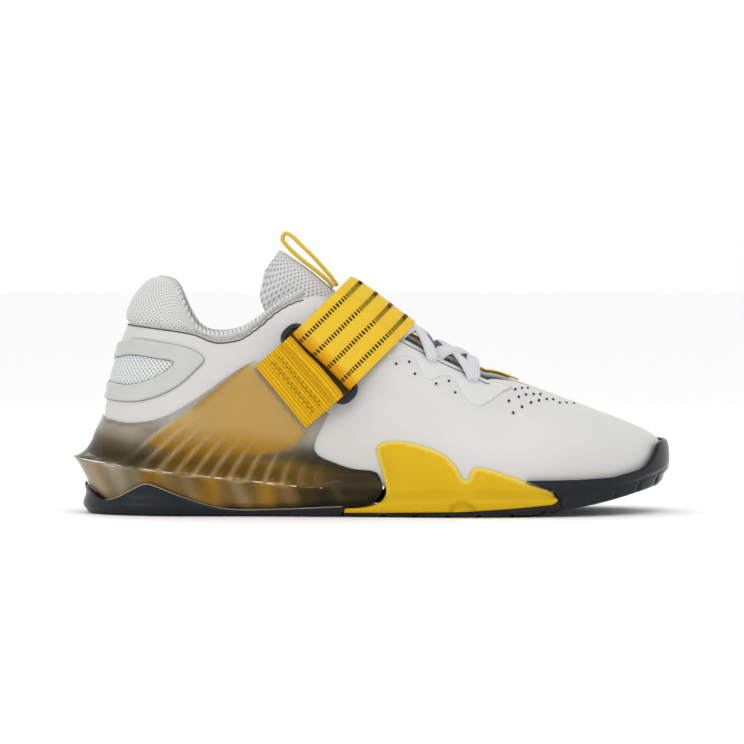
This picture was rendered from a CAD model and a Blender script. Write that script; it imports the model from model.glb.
# Looks of the weightlifting shoe. Shapes are worked out in millimetres in the frame in which the part is
# built (x = 0 at the back of the upper, z = 0 on the floor) and moved to the part's frame in metres.
# A place on the upper or the sole is given by ray, a number that counts round the shoe from the heel along
# the outer side, and by height. Outlines of plates use arc, the length along the foot of the upper, instead.
import math

import bmesh
import bpy
import numpy as np
from bisect import bisect_left
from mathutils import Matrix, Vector
from mathutils.geometry import delaunay_2d_cdt


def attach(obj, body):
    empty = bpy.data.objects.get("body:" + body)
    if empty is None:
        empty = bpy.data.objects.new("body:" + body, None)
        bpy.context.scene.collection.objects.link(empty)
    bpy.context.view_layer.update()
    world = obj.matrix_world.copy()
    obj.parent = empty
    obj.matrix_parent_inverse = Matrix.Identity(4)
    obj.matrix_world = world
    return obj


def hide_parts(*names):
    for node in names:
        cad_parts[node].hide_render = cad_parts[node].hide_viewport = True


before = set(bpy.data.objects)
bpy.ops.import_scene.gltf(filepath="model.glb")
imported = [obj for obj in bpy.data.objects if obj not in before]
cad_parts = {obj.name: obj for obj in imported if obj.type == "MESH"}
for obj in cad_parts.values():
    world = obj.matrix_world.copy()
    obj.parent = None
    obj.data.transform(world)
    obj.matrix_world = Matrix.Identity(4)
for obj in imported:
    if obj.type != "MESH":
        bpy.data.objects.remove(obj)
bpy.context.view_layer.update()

# Camera: the outer side, level with the middle of the photograph
MM_PER_PIXEL = 0.51
PHOTO_PIXELS = 744
FLOOR_ROW = 512
CAMERA_DISTANCE = 2.2
CAMERA_ELEVATION = math.radians(1.5)
SENSOR = 36

target = Vector((0, 0, (FLOOR_ROW - PHOTO_PIXELS / 2) * MM_PER_PIXEL / 1000))
camera_data = bpy.data.cameras.new("camera")
camera_data.sensor_width = SENSOR
camera_data.lens = SENSOR * CAMERA_DISTANCE / (PHOTO_PIXELS * MM_PER_PIXEL / 1000)
camera = bpy.data.objects.new("camera", camera_data)
bpy.context.scene.collection.objects.link(camera)
back = Vector((0, -math.cos(CAMERA_ELEVATION), math.sin(CAMERA_ELEVATION)))
camera.location = target + back * CAMERA_DISTANCE
camera.rotation_euler = (-back).to_track_quat("-Z", "Y").to_euler()
bpy.context.scene.camera = camera

# Sizes of the part in millimetres, as in its own source
SHIFT = np.array([-137.4797, 0.0208, 0.0])
LENGTH = 286
BALL_HALF = 52
HEEL_STACK = 28
FOREFOOT_STACK = 12
TAB_HEIGHT = 90.8
CROWN_HEIGHT = 102
VAMP_RISE = 4
TOE_LIFT = 10
TOE_TURN = 11
INSTEP_TURN = 4
INNER_RISE = 3
THROAT_END = 16
WALL = 2.4
FIT = 0.3
HEEL_FLARE = 15
CUP_WALL = 3.4
TOE_SPRING = 15
TOE_SQUARE = 2.35
HEEL_SQUARE = 2.1
TOE_BLUNTNESS = 6
TOE_FLATNESS = 0.4
TOE_SLOPE = 1.2
BULGE = 0.045
CROWN_ANGLE = 1.54
HEEL_PIVOT = 0.182 * LENGTH
TOE_PIVOT = 0.685 * LENGTH
OUTER, INNER = -1, 1

# How finely the upper is divided
HEEL_RAYS, SIDE_RAYS, TOE_RAYS = 22, 40, 34
TOE_START = HEEL_RAYS + SIDE_RAYS
HALF = TOE_START + TOE_RAYS
RAYS = 2 * HALF
STEPS_UP = 40
FINE_STEPS = 72


def mix(a, b, t):
    return a + (b - a) * t


def clamp(t):
    return min(1.0, max(0.0, t))


def ease(t):
    t = clamp(t)
    return t * t * (3 - 2 * t)


def soft(t):
    t = np.clip(t, 0, 1)
    return t * t * (3 - 2 * t)


def unit(vectors):
    """Vectors along the last axis, each made one long."""
    return vectors / np.maximum(1e-9, np.linalg.norm(vectors, axis=-1, keepdims=True))


def run_of(points):
    """Lengths along a line of points, from 0."""
    steps = np.linalg.norm(np.diff(points, axis=0), axis=1)
    return np.concatenate([[0], np.cumsum(steps)])


def tangents_of(points, closed=False):
    """Unit vectors along a line of points."""
    if closed:
        return unit(np.roll(points, -1, axis=0) - np.roll(points, 1, axis=0))
    return unit(np.gradient(points, axis=0))


def bell(distance, width):
    """1 at distance 0, fading to nothing over about two widths."""
    return np.exp(-((distance / width) ** 2))


def curve(xs, ys):
    """A smooth curve through points, flat beyond its ends, that never overshoots."""
    steps = [(ys[i + 1] - ys[i]) / (xs[i + 1] - xs[i]) for i in range(len(xs) - 1)]
    slopes = [steps[0]]
    for before, after in zip(steps, steps[1:]):
        slopes.append(0 if before * after <= 0 else 2 * before * after / (before + after))
    slopes.append(steps[-1])

    def value(at):
        x = min(xs[-1], max(xs[0], at))
        i = min(len(xs) - 2, max(0, bisect_left(xs, x) - 1))
        span = xs[i + 1] - xs[i]
        t = (x - xs[i]) / span
        a = slopes[i] * span - (ys[i + 1] - ys[i])
        b = -slopes[i + 1] * span + (ys[i + 1] - ys[i])
        return mix(ys[i], ys[i + 1], t) + t * (1 - t) * (a * (1 - t) + b * t)

    return value


# Sections of the last: along, outer, inner, crown, square
SECTIONS = [
    (0.182, 0.655, 0.655, 1, 2),
    (0.28, 0.7, 0.66, 1.03, 2.15),
    (0.34, 0.74, 0.67, 1.06, 2.3),
    (0.38, 0.78, 0.69, 1.01, 2.4),
    (0.44, 0.83, 0.74, 0.91, 2.4),
    (0.5, 0.89, 0.81, 0.83, 2.35),
    (0.55, 0.94, 0.88, 0.761, 2.3),
    (0.6, 0.98, 0.94, 0.685, 2.3),
    (0.64, 0.995, 0.96, 0.63, 2.3),
    (0.685, 1, 0.97, 0.566, 2.3),
]
ALONG = [row[0] * LENGTH for row in SECTIONS]
outer_share, inner_share, crown_share, square_at = (
    curve(ALONG, [row[n] for row in SECTIONS]) for n in (1, 2, 3, 4)
)


def featherline(x):
    """The height at which the upper stands on the sole."""
    share = x / LENGTH
    ramp = mix(HEEL_STACK, FOREFOOT_STACK, ease((share - 0.17) / 0.47))
    return ramp + TOE_LIFT * max(0.0, (share - 0.7) / 0.3) ** 2


def inner_rise(x, side):
    return INNER_RISE * ease((x / LENGTH - 0.36) / 0.15) if side > 0 else 0.0


def crown_line(x, side):
    return featherline(x) + CROWN_HEIGHT * crown_share(x) + inner_rise(x, side)


def swing(x):
    """How far the forefoot turns to the inner side."""
    return TOE_TURN * max(0.0, x / LENGTH - 0.6) ** 2 / 0.16


def lean(x, rise):
    """How far the instep leans to the inner side, by share of its height."""
    return INSTEP_TURN * rise**2 * ease((x / LENGTH - 0.25) / 0.2)


def bulge(rise):
    return 1 + BULGE * math.sin(math.pi * clamp(rise / 0.55))


def height_at(up):
    return HEEL_STACK + up * TAB_HEIGHT


def sole_height(up):
    return up * HEEL_STACK


# Edges in the side view: along, up
LEATHER_EDGE = [
    (0.044, 0.75), (0.1, 0.728), (0.165, 0.698), (0.211, 0.649), (0.243, 0.663), (0.278, 0.73),
    (0.316, 0.83), (0.353, 0.884), (0.389, 0.902), (0.45, 0.805), (0.535, 0.669), (0.597, 0.566),
    (0.659, 0.475), (0.684, 0.438),
]
LINING_EDGE = [
    (0.083, 0.995), (0.1, 1), (0.118, 0.986), (0.133, 0.944), (0.143, 0.882), (0.158, 0.787),
    (0.172, 0.725), (0.19, 0.692), (0.211, 0.686), (0.243, 0.703), (0.278, 0.768), (0.334, 0.902),
    (0.362, 0.934), (0.389, 0.936),
]


def edge_curve(rows, height):
    """The height of an edge at a place along the shoe."""
    return curve([along * LENGTH for along, _ in rows], [height(up) for _, up in rows])


leather_curve = edge_curve(LEATHER_EDGE, height_at)
lining_edge = edge_curve(LINING_EDGE, height_at)


def leather_edge(x, side):
    return leather_curve(x) + inner_rise(x, side)


def past_leather(side):
    return lambda point: point[2] > leather_edge(point[0], side)


def past_throat(point):
    return math.hypot(point[0] - TOE_PIVOT, point[1] - swing(point[0]) - INSTEP_TURN) < THROAT_END


def ray_base(side, k):
    """Where ray k of one side stands on the featherline, and the pivot that it climbs towards."""
    share = outer_share if side < 0 else inner_share
    if k < HEEL_RAYS:
        angle = k / HEEL_RAYS * math.pi / 2
        x = HEEL_PIVOT * (1 - math.cos(angle) ** (2 / HEEL_SQUARE))
        y = side * BALL_HALF * share(HEEL_PIVOT) * math.sin(angle) ** (2 / HEEL_SQUARE)
        return x, y, side, HEEL_PIVOT, 0.0
    if k <= TOE_START:
        x = mix(HEEL_PIVOT, TOE_PIVOT, (k - HEEL_RAYS) / SIDE_RAYS)
        return x, side * BALL_HALF * share(x), side, x, 0.0
    angle = (HALF - k) / TOE_RAYS * math.pi / 2
    x = TOE_PIVOT + (LENGTH - TOE_PIVOT) * math.cos(angle) ** (2 / TOE_SQUARE)
    y = side * BALL_HALF * share(TOE_PIVOT) * math.sin(angle) ** (2 / TOE_SQUARE)
    return x, y, side, TOE_PIVOT, math.cos(angle)


def ray_point(base, angle):
    """The point of a ray at an angle, from 0 on the featherline to a right angle over the pivot."""
    base_x, base_y, side, pivot, blunt = base
    square = mix(square_at(pivot), TOE_BLUNTNESS, blunt)
    flat = mix(1, TOE_FLATNESS, blunt)
    reach = math.cos(angle) ** (2 / square)
    rise = mix((1 - reach) ** TOE_SLOPE, 1, flat) * math.sin(angle) ** (2 / square)
    crown = mix(crown_line(pivot, side), crown_line(pivot, 0) + VAMP_RISE, blunt)
    x = mix(pivot, base_x, reach)
    y = base_y * reach * bulge(rise) + swing(x) + lean(pivot, rise)
    return (x, y, mix(featherline(base_x), crown, rise))


def trimmed_ray(base, is_past, steps, is_short=None):
    """A ray from the featherline to its edge, as evenly spaced points."""
    fine = [ray_point(base, 0)]
    for n in range(1, FINE_STEPS + 1):
        low, high = CROWN_ANGLE * (n - 1) / FINE_STEPS, CROWN_ANGLE * n / FINE_STEPS
        point = ray_point(base, high)
        if is_past(point):
            for _ in range(16):
                middle = (low + high) / 2
                if is_past(ray_point(base, middle)):
                    high = middle
                else:
                    low = middle
            fine.append(ray_point(base, low))
            break
        fine.append(point)
    fine = np.array(fine)
    lengths = run_of(fine)
    start = 0.0
    if is_short:
        start = lengths[next(n for n, point in enumerate(fine) if not is_short(point))]
    at = np.linspace(start, lengths[-1], steps + 1)
    return np.stack([np.interp(at, lengths, fine[:, axis]) for axis in range(3)], axis=1)


def grid_normals(points, cyclic):
    if cyclic:
        along = np.roll(points, -1, axis=0) - np.roll(points, 1, axis=0)
    else:
        along = np.gradient(points, axis=0)
    return unit(np.cross(along, np.gradient(points, axis=1)))


def upper_grid():
    """The upper's wall as rays round the shoe, from the heel along the outer side and back."""
    rays = []
    for i in range(RAYS):
        side, number = (OUTER, i) if i <= HALF else (INNER, RAYS - i)
        is_past = past_throat if number > TOE_START else past_leather(side)
        rays.append(trimmed_ray(ray_base(side, number), is_past, STEPS_UP))
    points = np.array(rays)
    return points, grid_normals(points, True)


UPPER, UPPER_NORMALS = upper_grid()

# Tables of the upper's wall by ray and height
HEIGHT_STEP = 0.5
HEIGHTS = np.arange(0, 130.5, HEIGHT_STEP)


def by_height(values):
    return np.stack([
        np.stack([np.interp(HEIGHTS, UPPER[i, :, 2], values[i, :, axis]) for axis in range(3)], axis=1)
        for i in range(RAYS)
    ])


def looked_up(table, rays, heights):
    """Values of a table by ray and height, mixed between the four nearest entries."""
    rays = np.mod(np.asarray(rays, float), RAYS)
    i = np.minimum(rays.astype(int), RAYS - 1)
    j = np.floor(heights / HEIGHT_STEP).astype(int)
    shape = (-1, 1) if table.ndim == 3 else -1
    a = (rays - i).reshape(shape)
    b = (heights / HEIGHT_STEP - j).reshape(shape)
    after = (i + 1) % RAYS
    low = table[i, j] * (1 - a) + table[after, j] * a
    high = table[i, j + 1] * (1 - a) + table[after, j + 1] * a
    return low * (1 - b) + high * b


def by_ray(values, rays):
    """Values given for each ray, at ray numbers between them."""
    return np.interp(np.mod(rays, RAYS), np.arange(RAYS + 1), np.append(values, values[0]))


def in_table(heights):
    return np.clip(np.asarray(heights, float), 0, HEIGHTS[-1] - 0.01)


WALL_POINTS = by_height(UPPER)
flat_normals = UPPER_NORMALS.copy()
flat_normals[:, :, 2] *= soft((UPPER[:, :, 2] - UPPER[:, :1, 2]) / 5)
WALL_NORMALS = by_height(unit(flat_normals))
FEET = UPPER[:, 0, 2]


def wall_at(rays, heights):
    """Points and normals of the upper's wall at ray numbers and heights, straight down below its foot."""
    heights = in_table(heights)
    points = looked_up(WALL_POINTS, rays, heights)
    points[:, 2] = np.where(heights < by_ray(FEET, rays), heights, points[:, 2])
    return points, unit(looked_up(WALL_NORMALS, rays, heights))


# Arc along the foot of the upper, counted from the heel along the outer side
ARC = run_of(np.vstack([UPPER[:, 0], UPPER[:1, 0]]))
ARC_TOTAL = ARC[-1]
RAY_NUMBERS = np.arange(-RAYS, 2 * RAYS + 1)
ARCS = np.concatenate([ARC[:-1] - ARC_TOTAL, ARC[:-1], ARC + ARC_TOTAL])


def arc_of(ray):
    return np.interp(ray, RAY_NUMBERS, ARCS)


def ray_at(arc):
    return np.interp(arc, ARCS, RAY_NUMBERS)


# The sole's outer form
RIDGE = [
    (-0.055, 1.122), (0.019, 0.984), (0.069, 0.885), (0.154, 0.76), (0.27, 0.641), (0.386, 0.53),
    (0.495, 0.499),
]
SOLE_SIDE = [
    (-0.004, 0.45, 0.97), (0.05, 0.42, 0.82), (0.18, 0.4, 0.62), (0.35, 0.27, 0.47), (0.5, 0.13, 0.29),
    (0.69, 0.07, 0.23), (0.85, 0.05, 0.23), (1, -0.1, 0.22),
]
ridge_curve = edge_curve(RIDGE, sole_height)
floor_curve = curve([r[0] * LENGTH for r in SOLE_SIDE], [HEEL_FLARE * r[1] for r in SOLE_SIDE])
flare_curve = curve([r[0] * LENGTH for r in SOLE_SIDE], [HEEL_FLARE * r[2] for r in SOLE_SIDE])
hollow_curve = curve([0, 0.1, 0.25, 0.5, 0.8, 1], [1, 0.62, 0.36, 0.14, 0.03, 0])
HOLLOW_STEPS = [0, 0.06, 0.12, 0.2, 0.3, 0.42, 0.55, 0.68, 0.8, 1]


def ground_line(x):
    return TOE_SPRING * max(0.0, (x / LENGTH - 0.665) / 0.335) ** 1.9


def sole_profile(foot):
    """Heights and offsets of the sole's outer form over the floor at one place along its edge."""
    ground = ground_line(foot[0])
    ridge = max(ridge_curve(foot[0]), ground + 0.3 * HEEL_STACK)
    flare, floor = flare_curve(foot[0]), floor_curve(foot[0])
    hollow_top = max(ridge + 6, foot[2] + 0.75 * HEEL_STACK)
    low = curve(
        [ground, mix(ground, ridge, 0.2), mix(ground, ridge, 0.5), mix(ground, ridge, 0.85), ridge],
        [floor - 1, floor + 0.5, mix(floor, flare, 0.25), mix(floor, flare, 0.7), flare],
    )
    heights = list(np.linspace(ground, ridge, 12))
    offsets = [low(height) for height in heights]
    for up in HOLLOW_STEPS[1:]:
        heights.append(mix(ridge, hollow_top, up))
        offsets.append(CUP_WALL + max(0.0, flare - CUP_WALL) * hollow_curve(up))
    return heights, offsets


SOLE_OFFSETS = np.stack([np.interp(HEIGHTS, *sole_profile(foot)) for foot in UPPER[:, 0]])


def sole_offset(rays, heights):
    return looked_up(SOLE_OFFSETS, rays, in_table(heights))


def on_upper(rays, heights, offset):
    points, normals = wall_at(rays, heights)
    return points + normals * np.reshape(offset, (-1, 1))


def on_sole(rays, heights, extra):
    return on_upper(rays, heights, sole_offset(rays, heights) + extra)


def ray_of(x, z, side, surface, offset=0.0):
    """The ray at which a surface passes x at height z on one side."""
    numbers = np.arange(HALF + 1)
    rays = numbers if side == OUTER else RAYS - numbers
    row = surface(rays, np.full(HALF + 1, z), np.full(HALF + 1, offset))[:, 0]
    found = np.interp(x, np.maximum.accumulate(row), numbers)
    return found if side == OUTER else RAYS - found


def catmull(points, steps, closed=False):
    """A centripetal curve through points."""
    pts = [np.array(p, float) for p in points]
    if closed:
        pts = [pts[-1], *pts, pts[0], pts[1]]
    else:
        pts = [2 * pts[0] - pts[1], *pts, 2 * pts[-1] - pts[-2]]
    found = []
    for p0, p1, p2, p3 in zip(pts, pts[1:], pts[2:], pts[3:]):
        t0 = 0.0
        t1 = t0 + max(1e-6, np.linalg.norm(p1 - p0) ** 0.5)
        t2 = t1 + max(1e-6, np.linalg.norm(p2 - p1) ** 0.5)
        t3 = t2 + max(1e-6, np.linalg.norm(p3 - p2) ** 0.5)
        for n in range(steps):
            t = mix(t1, t2, n / steps)
            a1 = (t1 - t) / (t1 - t0) * p0 + (t - t0) / (t1 - t0) * p1
            a2 = (t2 - t) / (t2 - t1) * p1 + (t - t1) / (t2 - t1) * p2
            a3 = (t3 - t) / (t3 - t2) * p2 + (t - t2) / (t3 - t2) * p3
            b1 = (t2 - t) / (t2 - t0) * a1 + (t - t0) / (t2 - t0) * a2
            b2 = (t3 - t) / (t3 - t1) * a2 + (t - t1) / (t3 - t1) * a3
            found.append((t2 - t) / (t2 - t1) * b1 + (t - t1) / (t2 - t1) * b2)
    if not closed:
        found.append(pts[-2])
    return np.array(found)


def side_curve(rows, steps, height, closed=False):
    return catmull([(along * LENGTH, height(up)) for along, up in rows], steps, closed)


def resampled(points, spacing, closed):
    """Points evenly spaced along a line."""
    points = np.array(points, float)
    if closed:
        points = np.vstack([points, points[:1]])
    lengths = run_of(points)
    count = max(2, int(round(lengths[-1] / spacing)))
    at = np.linspace(0, lengths[-1], count + 1)
    found = np.stack([np.interp(at, lengths, points[:, n]) for n in range(points.shape[1])], axis=1)
    return found[:-1] if closed else found


# Meshes
def new_object(name, verts, faces, material, uv=None, attributes=None, node=None, slot=None, smooth=True):
    """A piece from points in millimetres in the build frame."""
    mesh = bpy.data.meshes.new(name)
    place = (np.array(verts, float) + SHIFT) / 1000
    mesh.from_pydata(place.tolist(), [], [tuple(int(n) for n in face) for face in faces])
    mesh.update()
    if uv is not None:
        uv = np.array(uv, float) / 1000
        layer = mesh.uv_layers.new(name="size")
        corners = np.zeros(len(mesh.loops), int)
        mesh.loops.foreach_get("vertex_index", corners)
        layer.data.foreach_set("uv", uv[corners].ravel())
    for key, values in (attributes or {}).items():
        attribute = mesh.attributes.new(key, "FLOAT", "POINT")
        attribute.data.foreach_set("value", np.array(values, float))
    mesh.shade_smooth() if smooth else mesh.shade_flat()
    mesh.materials.append(material)
    obj = bpy.data.objects.new(name, mesh)
    bpy.context.scene.collection.objects.link(obj)
    edit = bmesh.new()
    edit.from_mesh(mesh)
    bmesh.ops.recalc_face_normals(edit, faces=edit.faces)
    edit.to_mesh(mesh)
    edit.free()
    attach(obj, "root")
    if node:
        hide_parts(node)
    return obj


class Builder:
    """Collects points and faces of a piece."""

    def __init__(self):
        self.verts, self.uv, self.faces = [], [], []
        self.mapped = False

    def row(self, points, uv=None):
        """Adds points and gives back their numbers."""
        start = len(self.verts)
        self.verts.extend(np.asarray(points, float).tolist())
        self.uv.extend(np.asarray(uv, float).tolist() if uv is not None else [[0, 0]] * len(points))
        self.mapped = self.mapped or uv is not None
        return list(range(start, len(self.verts)))

    def strip(self, low, high, closed=False):
        """Faces between two rows."""
        count = len(low)
        for i in range(count if closed else count - 1):
            n = (i + 1) % count
            self.faces.append((low[i], low[n], high[n], high[i]))

    def sleeve(self, loops, closed=False, capped=False):
        """Walls between closed loops, the last joined to the first or a face over each end."""
        for low, high in zip(loops, loops[1:] + loops[:1] if closed else loops[1:]):
            self.strip(low, high, True)
        if capped:
            self.faces += [loops[0], loops[-1][::-1]]

    def folded_end(self, loop):
        """The end of a flat band, as faces from its outer to its inner half."""
        count = len(loop)
        for i in range(count // 2 - 1):
            self.faces.append((loop[i], loop[i + 1], loop[count - i - 2], loop[count - i - 1]))

    def piece(self, name, material, **more):
        """The object made of all that was added."""
        return new_object(name, self.verts, self.faces, material, uv=self.uv if self.mapped else None, **more)


def shell(builder, rows, normals, offsets_out, offsets_in, arcs, closed):
    """A wall over a grid, with a rounded upper edge. Each offset is one number for each point of the grid."""
    last = rows.shape[1] - 1
    up = unit(rows[:, last] - rows[:, last - 1])
    heights = run_of(rows[rows.shape[0] // 3])
    loops = []

    def add(points, height):
        loops.append(builder.row(points, np.stack([arcs, np.full(len(arcs), height)], axis=1)))

    for j in range(last + 1):
        add(rows[:, j] + normals[:, j] * offsets_out[:, j, None], heights[j])
    half = (offsets_out[:, last] - offsets_in[:, last]) / 2
    centre = (offsets_out[:, last] + offsets_in[:, last]) / 2
    for turn in (0.2, 0.4, 0.6, 0.8):
        out = centre + half * math.cos(turn * math.pi)
        rise = half * math.sin(turn * math.pi)
        add(rows[:, last] + normals[:, last] * out[:, None] + up * rise[:, None], heights[last] + turn)
    for j in range(last, -1, -1):
        add(rows[:, j] + normals[:, j] * offsets_in[:, j, None], heights[j])
    for low, high in zip(loops, loops[1:] + loops[:1]):
        builder.strip(low, high, closed)
    if not closed:
        builder.faces += [[loop[0] for loop in loops], [loop[-1] for loop in reversed(loops)]]


def inside_polygon(points, polygon):
    """Which points lie inside a closed outline, by the edges that a line from each of them crosses."""
    x, y = points[:, 0], points[:, 1]
    inside = np.zeros(len(points), bool)
    for (x1, y1), (x2, y2) in zip(polygon, np.roll(polygon, -1, axis=0)):
        crosses = (y1 > y) != (y2 > y)
        with np.errstate(divide="ignore", invalid="ignore"):
            cut = (x2 - x1) * (y - y1) / (y2 - y1) + x1
        inside ^= crosses & (x < cut)
    return inside


def distance_to(points, polygon, closed=True):
    """How far each point is from the nearest edge of an outline."""
    starts = polygon if closed else polygon[:-1]
    ends = np.roll(polygon, -1, axis=0) if closed else polygon[1:]
    best = np.full(len(points), 1e9)
    for a, b in zip(starts, ends):
        span = b - a
        length = max(1e-12, float(span @ span))
        t = np.clip(((points - a) @ span) / length, 0, 1)
        best = np.minimum(best, np.linalg.norm(points - (a + t[:, None] * span), axis=1))
    return best


def inside_loops(points, loops):
    """Which points lie inside the first loop and outside the others."""
    keep = inside_polygon(points, loops[0])
    for hole in loops[1:]:
        keep &= ~inside_polygon(points, hole)
    return keep


def gaps_to(points, loops):
    """How far each point is from the nearest of several outlines."""
    return np.min([distance_to(points, one) for one in loops], axis=0)


def flat_mesh(loops, spacing, insets):
    """Points and triangles that fill an outline with holes: rows beside the edges, then a regular grid."""
    points = [p for one in loops for p in one]
    starts = np.concatenate([[0], np.cumsum([len(one) for one in loops])])
    faces = [list(range(a, b)) for a, b in zip(starts, starts[1:])]

    def add(candidates, gap):
        keep = inside_loops(candidates, loops) & (gaps_to(candidates, loops) > gap)
        points.extend(candidates[keep])

    for inset in insets:
        for one in loops:
            tangent = tangents_of(one, True)
            for sign in (1, -1):
                add(one + sign * inset * np.stack([-tangent[:, 1], tangent[:, 0]], axis=1), inset * 0.93)
    low, high = loops[0].min(0), loops[0].max(0)
    xs, ys = np.arange(low[0], high[0], spacing), np.arange(low[1], high[1], spacing * 0.87)
    grid = np.array([(x + (spacing / 2 if n % 2 else 0), y) for n, y in enumerate(ys) for x in xs])
    add(grid, insets[-1] + spacing * 0.4)
    found, _, triangles, _, _, _ = delaunay_2d_cdt(
        [Vector((float(p[0]), float(p[1]))) for p in points], [], faces, 1, 1e-5)
    flat = np.array([(p.x, p.y) for p in found])
    triangles = np.array([t for t in triangles if len(t) == 3])
    return flat, triangles[inside_loops(flat[triangles].mean(axis=1), loops)]


def plate(name, outline, lift, base, material, spacing, edge=1.0, holes=(), insets=(0.25, 0.7, 1.3),
          attributes=None, node=None, slot=None):
    """A slab whose outline is given by arc and height. lift(arc, height, d) gives the outside's points, d
    being how far a point is from the outline, and base(arc, height) the inside's."""
    loops = [resampled(one, edge, True) for one in (outline, *holes)]
    flat, triangles = flat_mesh(loops, spacing, insets)
    arc, height, gaps, count = flat[:, 0], flat[:, 1], gaps_to(flat, loops), len(flat)
    faces = [tuple(t) for t in triangles]
    faces += [(c + count, b + count, a + count) for a, b, c in triangles]
    edges = {one: True for a, b, c in triangles for one in ((a, b), (b, c), (c, a))}
    faces += [(a, a + count, b + count, b) for a, b in edges if (b, a) not in edges]
    named = {key: np.tile(make(arc, height, gaps), 2) for key, make in (attributes or {}).items()}
    return new_object(name, np.vstack([lift(arc, height, gaps), base(arc, height)]), faces, material,
                      uv=np.vstack([flat, flat]), attributes=named, node=node, slot=slot)


def rounded(d, radius):
    """How much lower a surface is at a distance from its rounded edge."""
    t = np.clip(1 - d / radius, 0, 1)
    return radius * (1 - np.sqrt(1 - t**2))


# Sizes of the straps and the ring
RING_X, RING_Z = 0.386 * LENGTH, height_at(0.529)
STRAP_ANGLE, RING_ANGLE, WEBBING_ANGLE = 44.5, 42.5, 41
STRAP_WIDTH = 40
STRAP_THICKNESS = 1.5
STRAP_RUN = 150
STRAP_UNDERLAP = 34
STRAP_LIFT = 7
FLAP_LENGTH = 24.5
WEBBING_RUN = 62
RING_BAR = 3.4
RING_HEIGHT = 6
RING_SLACK = 1.2
FOLD_GAP = 1.9
BAR_SPACING = 2 * (RING_BAR / 2 + RING_SLACK + STRAP_THICKNESS) + FOLD_GAP
LOW_LAYER = 0.8 + STRAP_THICKNESS / 2


# Materials
STUDIO_LIGHT = 1.24


def srgb(red, green, blue):
    """The base colour that looks like this in the studio's light."""
    def linear(value):
        share = value / 255
        return (share / 12.92 if share <= 0.04045 else ((share + 0.055) / 1.055) ** 2.4) / STUDIO_LIGHT
    return (linear(red), linear(green), linear(blue), 1)


class Look:
    """A principled material with helpers for its nodes."""

    def __init__(self, name, roughness, **inputs):
        self.material = bpy.data.materials.new(name)
        self.material.use_nodes = True
        self.tree = self.material.node_tree
        self.shader = self.tree.nodes["Principled BSDF"]
        self.shader.inputs["Roughness"].default_value = roughness
        for key, value in inputs.items():
            self.shader.inputs[key.replace("_", " ")].default_value = value
        self.bump = None

    def node(self, kind, **values):
        made = self.tree.nodes.new(kind)
        for key, value in values.items():
            setattr(made, key, value)
        return made

    def link(self, source, target):
        self.tree.links.new(source, target)

    def place(self):
        return self.node("ShaderNodeTexCoord").outputs["Object"]

    def uv(self):
        return self.node("ShaderNodeTexCoord").outputs["UV"]

    def noise(self, scale, detail=3, vector=None):
        made = self.node("ShaderNodeTexNoise")
        made.inputs["Scale"].default_value = scale
        made.inputs["Detail"].default_value = detail
        self.link(vector or self.place(), made.inputs["Vector"])
        return made.outputs["Fac"]

    def ramp(self, fac, stops):
        made = self.node("ShaderNodeValToRGB")
        elements = made.color_ramp.elements
        while len(elements) < len(stops):
            elements.new(0.5)
        for element, (position, color) in zip(elements, stops):
            element.position = position
            element.color = color
        self.link(fac, made.inputs["Fac"])
        return made.outputs["Color"]

    def math(self, operation, a, b=0.0, c=0.0):
        made = self.node("ShaderNodeMath", operation=operation)
        for n, value in enumerate((a, b, c)):
            if isinstance(value, (int, float)):
                made.inputs[n].default_value = value
            else:
                self.link(value, made.inputs[n])
        return made.outputs[0]

    def attribute(self, name):
        return self.node("ShaderNodeAttribute", attribute_name=name).outputs["Fac"]

    def blend(self, fac, a, b):
        made = self.node("ShaderNodeMix", data_type="RGBA")
        for n, value in ((0, fac), (6, a), (7, b)):
            if isinstance(value, (int, float, tuple)):
                made.inputs[n].default_value = value
            else:
                self.link(value, made.inputs[n])
        return made.outputs[2]

    def color(self, source):
        if isinstance(source, tuple):
            self.shader.inputs["Base Color"].default_value = source
        else:
            self.link(source, self.shader.inputs["Base Color"])

    def relief(self, height, distance, strength=1.0):
        made = self.node("ShaderNodeBump")
        made.inputs["Strength"].default_value = strength
        made.inputs["Distance"].default_value = distance
        self.link(height, made.inputs["Height"])
        if self.bump:
            self.link(self.bump, made.inputs["Normal"])
        self.bump = made.outputs["Normal"]
        self.link(self.bump, self.shader.inputs["Normal"])

    def waves(self, vector, axis, period):
        """A sine over one axis of a vector, from 0 to 1, with a period in metres."""
        parts = self.node("ShaderNodeSeparateXYZ")
        self.link(vector, parts.inputs[0])
        turns = self.math("MULTIPLY", parts.outputs[axis], 2 * math.pi / period)
        return self.math("MULTIPLY_ADD", self.math("SINE", turns), 0.5, 0.5)


def leather_look():
    look = Look("upper_leather", 0.5, Coat_Weight=0.06, Coat_Roughness=0.4)
    look.color(look.ramp(look.noise(18, 2), [(0.3, srgb(212, 211, 207)), (0.7, srgb(219, 218, 215))]))
    look.relief(look.noise(900, 4), 0.00012, 0.35)
    look.relief(look.noise(60, 2), 0.0004, 0.12)
    return look.material


def knit_look(name, light, dark, period, depth=0.0005):
    look = Look(name, 0.85, Sheen_Weight=0.15)
    parts = look.node("ShaderNodeSeparateXYZ")
    look.link(look.uv(), parts.inputs[0])
    turn = 2 * math.pi / period
    a, b = (look.math("COSINE", look.math("MULTIPLY", parts.outputs[n], turn)) for n in (0, 1))
    holes = look.math("MAXIMUM", look.math("MULTIPLY", a, b), 0.0)
    look.color(look.ramp(holes, [(0.3, light), (0.62, dark)]))
    look.relief(look.math("SUBTRACT", 1.0, holes), depth, 0.8)
    look.relief(look.noise(2200, 2), 0.0001, 0.4)
    return look.material


DEEP_FROM = 0.1445
DEEP_BLEND = 0.003


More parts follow.
